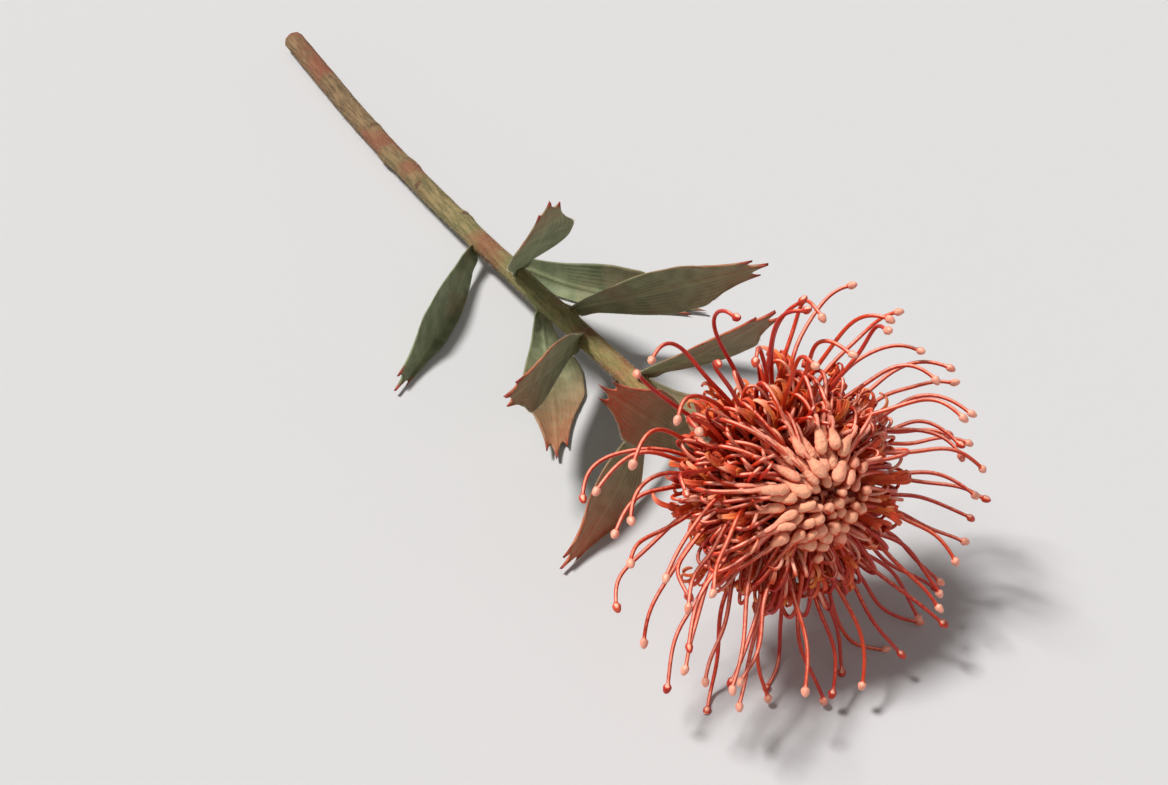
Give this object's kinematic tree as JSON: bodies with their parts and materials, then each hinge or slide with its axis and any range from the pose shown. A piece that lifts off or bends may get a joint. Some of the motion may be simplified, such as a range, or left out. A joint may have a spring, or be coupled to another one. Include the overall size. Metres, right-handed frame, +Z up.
{
  "type": "cut pincushion flower",
  "caption": "Cut pincushion flower lying down: a round head of wiry knobbed styles round a cluster of closed florets, on a woody stem with toothed leaves.",
  "frame": {"origin": "middle of the part's box, on the table that it lies on", "axes": "+Z up from the table, +Y from the bloom to the cut end of the stem, +X to the right as the bloom faces the viewer"},
  "size_m": [0.1178, 0.3854, 0.1011],
  "materials": {
    "painted_florets": "matte apricot paint over orange-red florets",
    "painted_buds": "matte pale apricot paint",
    "painted_bracts": "matte apricot paint, thinner in the gaps",
    "bark": "downy young bark, paint near the bloom",
    "leaf": "leathery grey-green, dusted with apricot paint"
  },
  "bodies": {
    "root": {"open_florets": "painted_florets", "bud_florets": "painted_buds", "involucre": "painted_bracts", "stem": "bark", "leaf_01": "leaf", "leaf_02": "leaf", "leaf_03": "leaf", "leaf_04": "leaf", "leaf_05": "leaf", "leaf_06": "leaf", "leaf_07": "leaf", "leaf_08": "leaf", "leaf_09": "leaf", "leaf_10": "leaf", "leaf_11": "leaf"}
  },
  "joints": []
}
